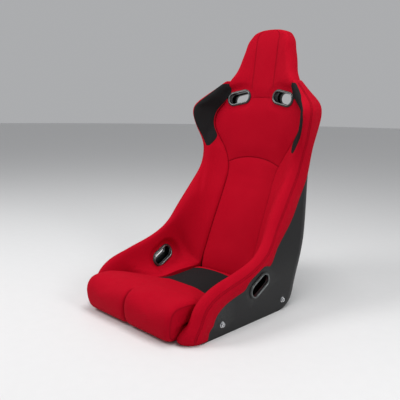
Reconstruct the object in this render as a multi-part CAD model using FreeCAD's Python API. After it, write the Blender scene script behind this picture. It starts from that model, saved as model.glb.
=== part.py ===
import FreeCAD, Part
import math
import os

# Fixed-back bucket racing seat, millimetres.
# +Z is up, the seat faces -Y, X = 0 is the plane of symmetry, Z = 0 is the floor it stands on.

V = FreeCAD.Vector

# ---- driving dimensions -------------------------------------------------------------------------
BOLT_SPACING = 290.0        # fore-and-aft distance between the two side mounting bolts
BOLT_MID_Y = -41.0          # middle of the side mounting pattern
BOLT_Z = 35.0               # height of the side mounting bolts
BOLT_R = 4.0                # M8 shank
SHELL_T = 4.0               # laminate thickness of the outer shell
INNER_T = 3.5               # laminate thickness of the inner shell
SHELL_FRONT = -270.0        # front end of the shell's side walls
SHELL_TOP = 884.0           # top of the outer shell, inside the headrest
CORNER_R = 60.0             # plan radius of the shell's rear corners
HEEL_R = 65.0               # radius between the shell's underside and its back
PAN_Z = 14.0                # underside of the inner shell's seat pan
PAN_FRONT = -232.0          # front edge of the seat pan
PAN_BEND = (45.0, 70.0)     # where the pan starts to curve up (y), and the radius of the bend
PAD_DEPTH = 24.0            # thickness of the back padding in front of the inner shell
FOAM_GAP = 0.8              # clearance between upholstery and shell
RIM_DEPTH = 22.0            # depth of the shell's rim below the crest of the bolsters
SEAM_GAP = 1.5              # gap between neighbouring pads
LUMBAR_Z = 471.0            # seam between the lower and the upper back pad
YOKE_Z = 681.0              # seam between the upper back pad and the headrest
PANEL_T = 2.5               # thickness of the cloth panels let into the upholstery
PANEL_GAP = 1.2
SLOT_LENGTH = 84.0          # clear opening of a harness slot, end to end
SLOT_WIDTH = 36.0
SLEEVE_T = 2.5              # wall of a bezel's sleeve
FLANGE = 8.5                # width of a bezel's flange around its opening
FLANGE_T = 4.0

# ---- side-view line (y, z): front face of the back padding on the plane of symmetry --------------
BACK_LINE = [(85, 40), (85, 82), (115, 154), (155, 253), (195, 348), (230, 442),
             (253, 566), (270, 682), (282, 762), (290, 822), (299, 882), (310, 921)]

# ---- bolster stations ---------------------------------------------------------------------------
# Each station is a section plane through the side bolster. The plane holds the X direction and the
# line from the crest to the foot, both given as (y, z). The rest are (x, depth below the crest):
# junction with the cushion or back pad, middle of the inner wall, widest point, lower edge outside;
# top is the x of the crest itself.
STATION_KEYS = ("crest", "foot", "join", "wall", "top", "out", "end")
STATIONS = [dict(zip(STATION_KEYS, row)) for row in (
    ((-293, 2), (-182, 2), (204, 95), (206, 24), 228, (252, 26), (246, 58)),
    ((-291, 52), (-180, 22), (204, 95), (206, 25), 228, (252, 28), (246, 66)),
    ((-278, 97), (-178, 23), (204, 95), (206, 27), 227, (252, 30), (247, 75)),
    ((-232, 138), (-172, 23), (201, 85), (206, 28), 227, (252, 28), (247, 70)),
    ((-170, 158), (-152, 23), (174, 82), (205, 36), 229, (252, 28), (247, 64)),
    ((-130, 168), (-118, 23), (147, 98), (202, 52), 232, (254, 28), (247, 64)),
    ((-90, 178), (-85, 23), (124, 110), (198, 66), 233, (254, 28), (247, 66)),
    ((-20, 202), (-15, 23), (119, 124), (204, 84), 230, (252, 28), (246, 68)),
    ((33, 242), (64, 40), (117, 160), (198, 92), 219, (246, 30), (240, 80)),
    ((62, 282), (104, 80), (113, 174), (178, 88), 213, (240, 32), (234, 92)),
    ((91, 322), (145, 176), (110, 126), (162, 68), 208, (234, 32), (229, 93)),
    ((122, 362), (185, 279), (107, 84), (156, 46), 202, (229, 30), (225, 88)),
    ((154, 402), (217, 355), (106, 60), (154, 34), 199, (224, 28), (222, 76)),
    ((182, 446), (246, 426), (110, 47), (158, 26), 199, (223, 26), (223, 73)),
    ((195, 502), (262, 497), (142, 43), (172, 24), 205, (229, 26), (231, 63)),
    ((193, 542), (271, 542), (172, 41), (194, 24), 220, (241, 26), (241, 65)),
    ((180, 582), (274, 582), (192, 54), (214, 28), 236, (255, 28), (252, 78)),
    ((172, 622), (276, 622), (192, 72), (222, 32), 245, (264, 30), (260, 88)),
    ((176, 650), (277, 650), (176, 78), (216, 34), 243, (262, 30), (258, 86)),
    ((192, 672), (278, 672), (152, 70), (194, 30), 226, (244, 26), (242, 76)),
    ((216, 698), (280, 698), (134, 44), (166, 20), 196, (213, 20), (211, 60)),
    ((246, 730), (288, 730), (136, 14), (145, 5), 155, (168, 14), (166, 35)),
)]
THIGH, HIP, WAIST, SHOULDER, NECK = (0, 6), (6, 10), (10, 14), (14, 19), (19, 21)
INSERT_STATIONS = (14, 21)

# ---- outer shell sections: (height, half width, rear face y) -------------------------------------
SHELL_LEVELS = [(70, 244, 208), (147, 243, 236), (218, 235, 267), (280, 227, 284), (339, 221, 295),
                (400, 219, 299), (460, 221, 301), (520, 230, 302), (570, 242, 302), (620, 255, 302),
                (650, 254, 303), (676, 236, 305), (700, 205, 308), (722, 170, 312), (745, 137, 317),
                (780, 118, 325), (830, 103, 336), (864, 88, 343), (SHELL_TOP, 72, 345)]

# ---- headrest sections: (height, crest half width, crest y, widest half width, rear edge y) --------
HEAD_LEVELS = [(736, 137, 252, 149, 296), (762, 118, 266, 130, 311), (790, 109, 275, 119, 320),
               (822, 100, 283, 110, 328), (855, 90, 290, 99, 335), (882, 79, 297, 88, 341),
               (900, 64, 303, 73, 343), (912, 46, 308, 54, 341), (919, 22, 314, 28, 334)]

# ---- cushion sections: (y, half width, top z) ---------------------------------------------------
CUSHION_LEVELS = [(-236, 197, 103), (-196, 188, 93), (-159, 166, 84), (-135, 148, 76), (-112, 131, 68),
                  (-60, 117, 66), (0, 115, 71), (48, 112, 76), (80, 107, 79)]
CUSHION_UNDER = 20.0
CUSHION_HEEL = (40.0, 34.0)  # where the underside starts to rise (y), and its height at the rear edge
LIFT_ROOM = 4.0             # clearance all round the cushion as it lifts out
ROLL_HALF = 198.0

# ---- harness slots, right side --------------------------------------------------------------------
# centre of the opening, tilt of its long axis, axis through the seat, outward normals of both faces
SHOULDER_TILT = 12.0
SHOULDER_THROUGH = V(0.12, 0.982, -0.145)
SHOULDER_FRONT = (V(98, 265, 680), V(-0.12, -0.982, 0.145))
SHOULDER_REAR = (V(103, 307.5, 674), V(0, 0.995, -0.1))
HIP_TILT = 29.0
HIP_THROUGH = V(1, 0, 0)
HIP_INNER = (V(201, -16, 112), V(-0.82, 0, 0.57))
HIP_OUTER = (V(245.0, -16, 112), V(1, 0, 0))

# ---- side mounting hardware, right side ------------------------------------------------------------
MOUNT_FACE = 244.0          # outer face of the shell at the bolts
HOLE_R = 4.3
WASHER = (9.0, 1.8)         # radius, thickness
HEAD = (6.5, 6.0)           # bolt head radius, height
SHANK = 18.0
PLATE = (3.0, 175.0, 20.0, 52.0)    # thickness, half length, lower and upper edge
NUT = (13.0, 6.5)           # across flats, thickness
TAPE = (40.0, 235.0)        # hook and loop strips: width, length
TAPE_X = 65.0


# ---- small helpers ------------------------------------------------------------------------------
def interpolate(table, key, column):
    """Value of one column of a table at the given key, which is the table's first column."""
    for low, high in zip(table, table[1:]):
        if key <= high[0] or high is table[-1]:
            t = (key - low[0]) / (high[0] - low[0])
            return low[column] + (high[column] - low[column]) * t


def back_y(z):
    """Front face of the back padding on the plane of symmetry."""
    return interpolate([(zz, y) for y, zz in BACK_LINE[1:]], z, 1)


def edge(points):
    """A line through two points, or a spline through more."""
    points = [V(*p) for p in points]
    if len(points) == 2:
        return Part.LineSegment(points[0], points[1]).toShape()
    curve = Part.BSplineCurve()
    curve.interpolate(points)
    return curve.toShape()


def wire(*runs):
    return Part.Wire([edge(run) for run in runs])


def polygon(points):
    return Part.makePolygon([V(*p) for p in points] + [V(*points[0])])


def prism(points, direction):
    return Part.Face(polygon(points)).extrude(direction)


def loft(wires):
    return Part.makeLoft(wires, True, False)


def largest(shape):
    return max(shape.Solids, key=lambda solid: solid.Volume)


def mirrored(shape):
    return shape.mirror(V(0, 0, 0), V(1, 0, 0))


def save(name, shape):
    if len(shape.Solids) == 1:
        shape = shape.Solids[0]
    state = "valid" if shape.isValid() else "INVALID"
    print(f"{name:28s} {state} solids {len(shape.Solids)} volume {shape.Volume / 1000:9.1f} cm3")
    shape.exportStep(f"parts/{name}.step")


def save_pair(name, shape):
    save(f"{name}_right", shape)
    save(f"{name}_left", mirrored(shape))


# ---- outer shell --------------------------------------------------------------------------------
def shell_x(z):
    return interpolate(SHELL_LEVELS, max(z, SHELL_LEVELS[0][0]), 1)


def shell_levels():
    """All shell sections, with the heel's arc added below the listed ones."""
    _, half, back = SHELL_LEVELS[0]
    heel = []
    for degrees in (0, 25, 50):
        a = math.radians(degrees)
        heel.append((HEEL_R * (1 - math.cos(a)), half, back - HEEL_R * (1 - math.sin(a)) - 2))
    return heel + SHELL_LEVELS


def plan_outline(z, half, back, inset, front_y):
    """Edges of the U in plan at height z, from the right front end round the back to the left."""
    radius = min(CORNER_R, 0.45 * half) - inset
    half = half - inset
    back = back - inset
    recess = 18.0 * max(0.0, min(1.0, (z - 90.0) / 80.0, (520.0 - z) / 120.0))
    k = radius * (1 - math.sqrt(0.5))
    flat = half - radius
    right = [V(half, front_y, z), V(half, back - radius, z), V(half - k, back - k, z), V(flat, back, z)]
    left = [V(-p.x, p.y, z) for p in right]
    rear = [(flat, back, z), (0.85 * flat, back, z), (0.6 * flat, back - recess, z), (0, back - recess, z)]
    rear += [(-x, y, height) for x, y, height in rear[-2::-1]]
    return [Part.LineSegment(right[0], right[1]).toShape(),
            Part.Arc(right[1], right[2], right[3]).toShape(),
            edge(rear),
            Part.Arc(left[3], left[2], left[1]).toShape(),
            Part.LineSegment(left[1], left[0]).toShape()]


def closed_outline(z, half, back, inset, front_y):
    x = half - inset
    front = edge([(-x, front_y, z), (x, front_y, z)])
    return Part.Wire(plan_outline(z, half, back, inset, front_y) + [front])


def tub(inset, top=0.0, bottom=0.0, front_y=SHELL_FRONT):
    """Solid inside the shell's plan outline, moved inward by inset, from the base to the top."""
    levels = [(z, half, back) for z, half, back in shell_levels()]
    levels[0] = (levels[0][0] + bottom,) + levels[0][1:]
    levels[-1] = (levels[-1][0] + top,) + levels[-1][1:]
    return loft([closed_outline(z, half, back, inset, front_y) for z, half, back in levels])


def station_point(station, x, depth):
    (cy, cz), (fy, fz) = station["crest"], station["foot"]
    length = math.hypot(fy - cy, fz - cz)
    return (x, cy + (fy - cy) * depth / length, cz + (fz - cz) * depth / length)


def front_cut(gap):
    """Prism in front of the shell's rim, which runs at a constant depth below the crest."""
    rim = [station_point(s, 0, RIM_DEPTH - gap)[1:] for s in STATIONS]
    rim += [(y + RIM_DEPTH - gap, z) for z, _, y, _, _ in HEAD_LEVELS[1:6]]
    rim.append((rim[-1][0] + 3, SHELL_TOP + 30))
    curve = edge([(-400, y, z) for y, z in rim])
    first, last = rim[0], rim[-1]
    outline = [(-400, last[0], last[1]), (-400, -500, last[1]), (-400, -500, -60), (-400, first[0], -60),
               (-400, first[0], first[1])]
    lines = [edge([a, b]) for a, b in zip(outline, outline[1:])]
    return Part.Face(Part.Wire([curve] + lines)).extrude(V(800, 0, 0))


def ring_section(z, half, back, grow):
    """Closed U-shaped section of the shell's wall, thickened by grow on both faces."""
    outer = plan_outline(z, half, back, -grow, SHELL_FRONT)
    inner = plan_outline(z, half, back, SHELL_T + grow, SHELL_FRONT)
    ends = []
    for side in (-1, 1):
        tip, root = side * (half + grow), side * (half - SHELL_T - grow)
        ends.append(edge([(root, SHELL_FRONT, z), (tip, SHELL_FRONT, z)]))
    return Part.Wire(Part.sortEdges(outer + inner + ends)[0])


def shell_body(grow):
    """The shell as a thin-walled tub; grow thickens it on both sides, to clear the upholstery."""
    levels = shell_levels()
    wall = loft([ring_section(*level, grow) for level in levels])
    lid_outline = closed_outline(*levels[-1], 0.5 * SHELL_T, SHELL_FRONT + 1.0)
    lid_height = SHELL_T + grow
    lid = Part.Face(lid_outline).extrude(V(0, 0, -lid_height))
    lid.translate(V(0, 0, -0.5))
    return largest(wall.fuse(lid).cut(front_cut(grow)))


# ---- bolsters -----------------------------------------------------------------------------------
def station_length(station):
    (cy, cz), (fy, fz) = station["crest"], station["foot"]
    return math.hypot(fy - cy, fz - cz)


def section_profile(station):
    """Front of a bolster section, from the junction over the crest to the lower outer edge."""
    (out_x, out_depth), (end_x, end_depth) = station["out"], station["end"]
    middle = (0.5 * (out_x + end_x) + 1.0, 0.5 * (out_depth + end_depth))
    profile = [station["join"], station["wall"], (station["top"], 0), station["out"], middle, station["end"]]
    return [station_point(station, x, depth) for x, depth in profile]


def bolster_section(station):
    """Closed section of a bolster; its outer side runs through the middle of the shell's wall."""
    length = station_length(station)
    join_x, join_depth = station["join"]
    end_x, end_depth = station["end"]
    wall_x = shell_x(station_point(station, 0, end_depth)[2]) - 0.5 * SHELL_T
    foot_x = shell_x(station_point(station, 0, length)[2]) - 0.5 * SHELL_T
    step = min(0.5 * (length - 14.0), 40.0, length - end_depth - 2.0)
    step = max(step, 4.0)
    knee_x = wall_x + (foot_x - wall_x) * 0.5
    corners = [(end_x, end_depth), (wall_x, end_depth)]
    if length - step > end_depth + 1.0:
        corners.append((knee_x, length - step))
    else:
        corners.append((wall_x - 0.5, end_depth + 0.5))
    corners += [(foot_x - 20, length - 0.3 * step), (foot_x - 20, length)]
    corners += [(join_x, length), (join_x, join_depth)]
    corners = [station_point(station, x, depth) for x, depth in corners]
    return wire(section_profile(station), *[[a, b] for a, b in zip(corners, corners[1:])])


def bolster(span):
    first, last = span
    return loft([bolster_section(s) for s in STATIONS[first:last + 1]])


def shoulder_insert(low_face=PANEL_GAP, high_face=PANEL_GAP + PANEL_T):
    """Cloth panel on the inner face of the shoulder bolster, from the junction to near the crest."""
    first, last = INSERT_STATIONS
    reach = {14: (0.45, 0.70), 15: (0.04, 0.80), 16: (0.04, 0.88), 17: (0.04, 0.92), 18: (0.04, 0.94),
             19: (0.06, 0.93), 20: (0.10, 0.92), 21: (0.20, 0.90)}
    wires = []
    for index in range(first, last + 1):
        station = STATIONS[index]
        points = section_profile(station)
        curve = Part.BSplineCurve()
        curve.interpolate([V(*p) for p in points])
        crest = curve.parameter(V(*points[2]))
        low, high = reach[index]
        rows = []
        for share in [low + (high - low) * k / 6 for k in range(7)]:
            u = curve.FirstParameter + (crest - curve.FirstParameter) * share
            foot, along = curve.value(u), curve.tangent(u)[0]
            inward = (V(*points[0]) - V(*points[2])).cross(V(*points[3]) - V(*points[2])).cross(along)
            inward.normalize()
            if inward.dot(V(-1, -1, 0.5)) < 0:
                inward = inward * -1
            rows.append((foot + inward * low_face, foot + inward * high_face))
        under = [tuple(row[0]) for row in rows]
        over = [tuple(row[1]) for row in rows]
        wires.append(wire(under, [under[-1], over[-1]], over[::-1], [over[0], under[0]]))
    return loft(wires)


# ---- inner shell --------------------------------------------------------------------------------
def inner_shell():
    """Seat pan and back in one bent sheet, trimmed to the inside of the outer shell."""
    bend_y, bend_r = PAN_BEND
    top = PAN_Z + INNER_T
    back = [(back_y(z) + PAD_DEPTH, z) for z in (154, 253, 348, 442, 566, 682, 724)]

    def sheet_line(offset):
        a = math.radians(62)
        r = bend_r + offset
        arc = [(bend_y + r * math.sin(a * k / 3), top + bend_r - r * math.cos(a * k / 3)) for k in range(4)]
        return [(PAN_FRONT, arc[0][1])], arc, [(y + offset, z) for y, z in back]

    front, arc, rise = sheet_line(0.0)
    front2, arc2, rise2 = sheet_line(INNER_T)
    x = -300
    over = [(x, y, z) for y, z in arc + rise]
    under = [(x, y, z) for y, z in arc2 + rise2]
    a, b = (x,) + front[0], (x,) + front2[0]
    face = Part.Face(wire([a, over[0]], over, [over[-1], under[-1]], under[::-1], [under[0], b], [b, a]))
    sheet = face.extrude(V(600, 0, 0))
    notches = [Part.makeBox(100, 120, 60, V(x, -300, 0)) for x in (-301, 201)]
    return largest(sheet.common(tub(SHELL_T + 11)).cut(notches))


# ---- pads ---------------------------------------------------------------------------------------
def back_section(z, half, dish):
    """Horizontal section of a back pad; dish is how far its sides stand forward of its middle."""
    middle = back_y(z)
    rear = middle + PAD_DEPTH - 3.0
    if z < BACK_LINE[1][1]:
        middle, rear = BACK_LINE[0][0], BACK_LINE[0][0] + 9
    front = [(x * half, middle - dish * x * x, z) for x in (-1, -0.5, 0, 0.5, 1)]
    return wire(front, [front[-1], (half, rear, z)], [(half, rear, z), (-half, rear, z)],
                [(-half, rear, z), front[0]])


def lower_back_pad():
    rows = [(48, 108), (84, 110), (110, 109.5), (154, 108.5), (204, 107), (253, 106), (295, 104.5),
            (366, 103.5), (432, 106), (LUMBAR_Z - SEAM_GAP, 119)]
    return loft([back_section(z, half, 0) for z, half in rows])


def upper_back_pad():
    rows = [(LUMBAR_Z, 120, 2), (499, 138.5, 3), (542, 168, 15), (582, 187.5, 22), (622, 187.5, 18),
            (650, 172, 12), (672, 148, 8), (YOKE_Z - SEAM_GAP, 143, 8)]
    return loft([back_section(z, half, dish) for z, half, dish in rows])


def headrest_pad():
    """Headrest with rolled sides; the yoke below it reaches down between the harness slots."""
    yoke = loft([back_section(z, half, dish) for z, half, dish in
                 ((YOKE_Z, 142, 9), (698, 130, 12), (720, 131, 17), (734, 131, 19))])
    wires = []
    for z, crest_x, crest_y, half, rear in HEAD_LEVELS:
        middle = interpolate([(zz, y) for y, zz in BACK_LINE[1:]], z, 1)
        right = [(half - 1.5, rear, z), (half, 0.5 * (crest_y + rear), z), (crest_x, crest_y, z),
                 (0.55 * crest_x, 0.4 * crest_y + 0.6 * middle, z), (0, middle, z)]
        left = [(-x, y, height) for x, y, height in right[-2::-1]]
        wires.append(wire(right + left, [left[-1], right[0]]))
    return yoke, loft(wires)


def cushion_roof(y, half, top):
    right = [(0.9 * half, y, top), (half, y, top - 5)]
    return [(-x, y, z) for x, y, z in right[::-1]] + [(0, y, top + 3)] + right


def cushion_section(y, half, top, under):
    roof = cushion_roof(y, half, top)
    return wire(roof, [roof[-1], (half, y, under)], [(half, y, under), (-half, y, under)],
                [(-half, y, under), roof[0]])


def cushion_body():
    body = loft([cushion_section(*level, CUSHION_UNDER) for level in CUSHION_LEVELS])
    start, height = CUSHION_HEEL
    rear = CUSHION_LEVELS[-1][0] + 1
    wedge = [(-200, start, CUSHION_UNDER - 5), (-200, start, CUSHION_UNDER), (-200, rear, height),
             (-200, rear, CUSHION_UNDER - 5)]
    return body.cut(prism(wedge, V(400, 0, 0)))


def lift_room():
    """Column that the cushion sweeps when it lifts out, with its clearance."""
    right = [(half + LIFT_ROOM, y, 3) for y, half, _ in CUSHION_LEVELS]
    right = [(ROLL_HALF + LIFT_ROOM, -360, 3), (ROLL_HALF + LIFT_ROOM, right[0][1], 3)] + right[1:]
    left = [(-x, y, z) for x, y, z in right[::-1]]
    return prism(right + left, V(0, 0, 380))


def cushion_insert():
    wires = []
    for y, half, top in CUSHION_LEVELS[4:8]:
        under = [(x, y, z + PANEL_GAP) for x, _, z in cushion_roof(y, half, top)]
        over = [(x, y, z + PANEL_T) for x, _, z in under]
        wires.append(wire(under, [under[-1], over[-1]], over[::-1], [over[0], under[0]]))
    return loft(wires)


def cushion_roll():
    """Right half of the thick front roll that carries the thighs."""
    outline = [(-238, 104), (-285, 113), (-318, 105), (-343, 82), (-349, 55), (-338, 26), (-312, 12),
               (-280, 10)]
    points = [(0.75, y, z) for y, z in outline]
    low = (0.75, -238, 10)
    face = Part.Face(wire(points, [points[-1], low], [low, points[0]]))
    return face.extrude(V(ROLL_HALF - 0.75, 0, 0))


# ---- harness slots and bezels -------------------------------------------------------------------
def slot_frame(through, tilt_degrees, level_axis):
    """Unit axes of a slot: along its length, across it, and through the seat."""
    a = math.radians(tilt_degrees)
    through = V(through)
    through.normalize()
    along = level_axis * math.cos(a) + V(0, 0, math.sin(a))
    along = along - through * along.dot(through)
    along.normalize()
    return along, along.cross(through), through


SHOULDER_AXES = slot_frame(SHOULDER_THROUGH, SHOULDER_TILT, V(-1, 0, 0))
HIP_AXES = slot_frame(HIP_THROUGH, HIP_TILT, V(0, 1, 0))


def stadium(centre, axes, grow, low=-90.0, high=90.0):
    """Solid with a slot's outline, grown all round, between two distances along its axis."""
    along, across, through = axes
    radius = 0.5 * SLOT_WIDTH + grow
    reach = 0.5 * (SLOT_LENGTH - SLOT_WIDTH)
    start = centre + through * low
    a, b = start + along * reach, start - along * reach
    runs = [Part.Arc(a + across * radius, a + along * radius, a - across * radius).toShape(),
            Part.LineSegment(a - across * radius, b - across * radius).toShape(),
            Part.Arc(b - across * radius, b - along * radius, b + across * radius).toShape(),
            Part.LineSegment(b + across * radius, a + across * radius).toShape()]
    return Part.Face(Part.Wire(runs)).extrude(through * (high - low))


def slab(point, normal, thickness):
    """Large plate that starts at a plane and grows along the plane's normal."""
    box = Part.makeBox(400, 400, thickness, V(-200, -200, 0))
    box.Placement = FreeCAD.Placement(point, FreeCAD.Rotation(V(0, 0, 1), normal))
    return box


def bezel(slot_centre, axes, face, sleeve):
    """Moulded surround: a flange standing on one face of the seat, and a sleeve lining the slot."""
    point, normal = face
    flange = stadium(slot_centre, axes, FLANGE).common(slab(point, normal, FLANGE_T))
    lining = stadium(slot_centre, axes, SLEEVE_T).common(slab(point, normal * -1, sleeve))
    return largest(flange.fuse(lining).cut(stadium(slot_centre, axes, 0, -100, 100)))


def passage(slot_centre, axes, face=None):
    """Room for the sleeve, and for the flange and everything in front of it when a face is given."""
    hole = stadium(slot_centre, axes, SLEEVE_T + 0.6)
    if face is None:
        return hole
    point, normal = face
    flange = stadium(slot_centre, axes, FLANGE + 0.8)
    return hole.fuse(flange.common(slab(point - normal * 0.4, normal, 120)))


# ---- mounting hardware --------------------------------------------------------------------------
def across_x(radius, x, y, z, length):
    return Part.makeCylinder(radius, length, V(x, y, z), V(1, 0, 0))


def hexagon_x(across_flats, x, y, z, length):
    radius = across_flats / math.sqrt(3)
    corners = [(x, y + radius * math.cos(math.radians(60 * k)), z + radius * math.sin(math.radians(60 * k)))
               for k in range(6)]
    return prism(corners, V(length, 0, 0))


def bolt_ys():
    return BOLT_MID_Y - 0.5 * BOLT_SPACING, BOLT_MID_Y + 0.5 * BOLT_SPACING


def mounting_hardware():
    """Bolts, washers, welded nuts and the reinforcing plate of the right side."""
    plate_t, plate_half, plate_low, plate_high = PLATE
    washer_r, washer_t = WASHER
    head_r, head_h = HEAD
    flats, nut_t = NUT
    plate_x = MOUNT_FACE - SHELL_T - 0.3 - plate_t
    plate_corner = V(plate_x, BOLT_MID_Y - plate_half, plate_low)
    plate = Part.makeBox(plate_t, 2 * plate_half, plate_high - plate_low, plate_corner)
    bolts, washers, nuts = [], [], []
    for y in bolt_ys():
        plate = plate.cut(across_x(HOLE_R, plate_x - 1, y, BOLT_Z, plate_t + 2))
        washers.append(across_x(washer_r, MOUNT_FACE, y, BOLT_Z, washer_t).cut(
            across_x(HOLE_R, MOUNT_FACE - 1, y, BOLT_Z, washer_t + 2)))
        seat = MOUNT_FACE + washer_t
        head = across_x(head_r, seat, y, BOLT_Z, head_h)
        rim = [e for e in head.Edges if e.Curve.TypeId == "Part::GeomCircle" and e.BoundBox.XMin > seat + 1]
        head = head.makeFillet(1.2, rim)
        head = head.cut(hexagon_x(6.0, seat + 2.5, y, BOLT_Z, head_h))
        bolts.append(head.fuse(across_x(BOLT_R, seat - SHANK, y, BOLT_Z, SHANK)).removeSplitter())
        nut = hexagon_x(flats, plate_x - nut_t, y, BOLT_Z, nut_t)
        nuts.append(nut.cut(across_x(BOLT_R + 0.03, plate_x - nut_t - 1, y, BOLT_Z, nut_t + 2)))
    return plate, Part.makeCompound(nuts), Part.makeCompound(washers), Part.makeCompound(bolts)


def tape(z, thickness):
    width, length = TAPE
    strips = [Part.makeBox(width, length, thickness, V(x - 0.5 * width, -200, z)) for x in (-TAPE_X, TAPE_X)]
    return Part.makeCompound(strips)


# ---- build --------------------------------------------------------------------------------------
def build():
    os.makedirs("parts", exist_ok=True)
    shoulder_hole = passage(SHOULDER_FRONT[0], SHOULDER_AXES)
    shoulder_pocket = passage(SHOULDER_FRONT[0], SHOULDER_AXES, SHOULDER_FRONT)
    hip_hole = passage(HIP_INNER[0], HIP_AXES)
    hip_pocket = passage(HIP_INNER[0], HIP_AXES, HIP_INNER)
    hip_outer = passage(HIP_INNER[0], HIP_AXES, HIP_OUTER)
    both_shoulder_holes = [shoulder_hole, mirrored(shoulder_hole)]
    both_pockets = [shoulder_pocket, mirrored(shoulder_pocket)]

    shell = shell_body(0.0)
    sides = (-MOUNT_FACE - 10, MOUNT_FACE - 10)
    bolt_holes = [across_x(HOLE_R, x, y, BOLT_Z, 20) for x in sides for y in bolt_ys()]
    shell = shell.cut(both_shoulder_holes + [hip_hole, mirrored(hip_hole)] + bolt_holes)
    save("outer_shell", shell)
    clearance = shell_body(FOAM_GAP)
    room_corner = V(MOUNT_FACE - 17.5, BOLT_MID_Y - PLATE[1] - 2, 16)
    hardware_room = Part.makeBox(16, 2 * PLATE[1] + 4, 40, room_corner)
    column = lift_room()
    panel_room = shoulder_insert(PANEL_GAP - 0.4, PANEL_GAP + 12.0)
    cuts = {"thigh_bolster": (THIGH, [hardware_room, column]),
            "hip_bolster": (HIP, [hardware_room, column, hip_pocket, hip_outer]),
            "waist_bolster": (WAIST, []), "shoulder_bolster": (SHOULDER, [shoulder_pocket, panel_room]),
            "neck_bolster": (NECK, [shoulder_pocket, panel_room])}
    bolsters = {}
    for name, (span, extra) in cuts.items():
        bolsters[name] = largest(bolster(span).cut([clearance] + extra))
        save_pair(name, bolsters[name])
    nose = bolsters["thigh_bolster"]
    save("inner_shell", largest(inner_shell().cut(both_shoulder_holes + [nose, mirrored(nose)])))
    save_pair("shoulder_insert", largest(shoulder_insert().cut(shoulder_pocket)))

    save("lower_back_pad", lower_back_pad())
    save("upper_back_pad", upper_back_pad().cut(both_pockets))
    yoke, head = headrest_pad()
    save("yoke_pad", largest(yoke.cut(both_pockets + [clearance])))
    save("headrest_pad", largest(head.cut(clearance)))

    save("cushion_body", cushion_body())
    save("cushion_insert", cushion_insert())
    save_pair("cushion_roll", cushion_roll())
    save("hook_tape", tape(PAN_Z + INNER_T, 1.0))
    save("loop_tape", tape(CUSHION_UNDER - 1.0, 1.0))

    save_pair("shoulder_bezel_front", bezel(SHOULDER_FRONT[0], SHOULDER_AXES, SHOULDER_FRONT, 22))
    save_pair("shoulder_bezel_rear", bezel(SHOULDER_FRONT[0], SHOULDER_AXES, SHOULDER_REAR, 9))
    save_pair("hip_bezel_inner", bezel(HIP_INNER[0], HIP_AXES, HIP_INNER, 8))
    save_pair("hip_bezel_outer", bezel(HIP_INNER[0], HIP_AXES, HIP_OUTER, 9))

    for name, shape in zip(("mount_plate", "mount_nuts", "side_washers", "side_bolts"), mounting_hardware()):
        save_pair(name, shape)


if __name__ == "__main__":
    build()
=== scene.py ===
import math

import bmesh
import bpy
import numpy as np
from mathutils import Matrix, Vector
from mathutils.bvhtree import BVHTree


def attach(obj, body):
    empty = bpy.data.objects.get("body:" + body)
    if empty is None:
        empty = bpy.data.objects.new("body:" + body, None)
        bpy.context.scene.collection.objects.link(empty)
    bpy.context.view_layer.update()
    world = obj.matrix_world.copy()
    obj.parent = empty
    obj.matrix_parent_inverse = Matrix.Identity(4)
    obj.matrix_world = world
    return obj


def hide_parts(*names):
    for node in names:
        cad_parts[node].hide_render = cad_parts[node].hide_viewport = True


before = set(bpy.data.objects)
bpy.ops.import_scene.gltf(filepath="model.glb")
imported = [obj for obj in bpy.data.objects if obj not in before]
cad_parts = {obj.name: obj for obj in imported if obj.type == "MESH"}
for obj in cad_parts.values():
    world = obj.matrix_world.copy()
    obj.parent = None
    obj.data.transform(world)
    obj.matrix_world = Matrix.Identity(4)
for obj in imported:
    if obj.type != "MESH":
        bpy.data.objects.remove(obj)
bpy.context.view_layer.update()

MM = 0.001

# ---- bolster stations, millimetres in the model's frame ----
# crest y z, foot y z, join x depth, wall x depth, crest x, outer x depth, lower edge x depth
STATIONS = np.array([
    (-311, 0.5, -182, 0.5, 183, 90, 190, 12, 209, 240, 30, 243, 66),
    (-327, 8, -182, 4, 182, 112, 183, 16, 200, 246, 48, 246, 86),
    (-318, 34, -181, 16, 194, 108, 195, 14, 209, 251, 38, 246, 78),
    (-297, 66, -180, 22, 204, 100, 205, 18, 218, 252, 34, 246, 79),
    (-283, 98, -178, 23, 204, 98, 206, 24, 223, 252, 32, 247, 79),
    (-232, 138, -172, 23, 201, 85, 206, 28, 227, 252, 28, 247, 70),
    (-170, 158, -152, 23, 174, 82, 205, 36, 229, 252, 28, 247, 64),
    (-130, 168, -118, 23, 147, 98, 202, 52, 232, 254, 28, 247, 64),
    (-90, 178, -85, 23, 124, 110, 198, 66, 233, 254, 28, 247, 66),
    (-20, 202, -15, 23, 119, 124, 204, 84, 230, 252, 28, 246, 68),
    (33, 242, 80, 40, 116, 168, 198, 92, 219, 246, 30, 240, 80),
    (62, 282, 95, 80, 112, 189, 178, 88, 213, 240, 32, 234, 92),
    (91, 322, 145, 176, 110, 126, 162, 68, 208, 234, 32, 229, 93),
    (122, 362, 185, 279, 107, 84, 156, 46, 202, 229, 30, 225, 88),
    (154, 402, 217, 355, 106, 60, 154, 34, 199, 224, 28, 222, 76),
    (182, 446, 246, 426, 110, 47, 158, 26, 199, 223, 26, 223, 73),
    (195, 502, 262, 497, 142, 43, 172, 24, 205, 229, 26, 231, 63),
    (193, 542, 271, 542, 172, 41, 194, 24, 220, 241, 26, 241, 65),
    (180, 582, 274, 582, 192, 54, 214, 28, 236, 255, 28, 252, 78),
    (172, 622, 276, 622, 192, 72, 222, 32, 245, 264, 30, 260, 88),
    (176, 650, 277, 650, 176, 78, 216, 34, 243, 262, 30, 258, 86),
    (192, 672, 278, 672, 152, 70, 194, 30, 226, 244, 26, 242, 76),
    (216, 698, 280, 698, 134, 44, 166, 20, 194, 210, 20, 208, 60),
    (249, 741, 290, 741, 129, 16, 138, 7, 146, 157, 14, 155, 42),
], float)
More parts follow.
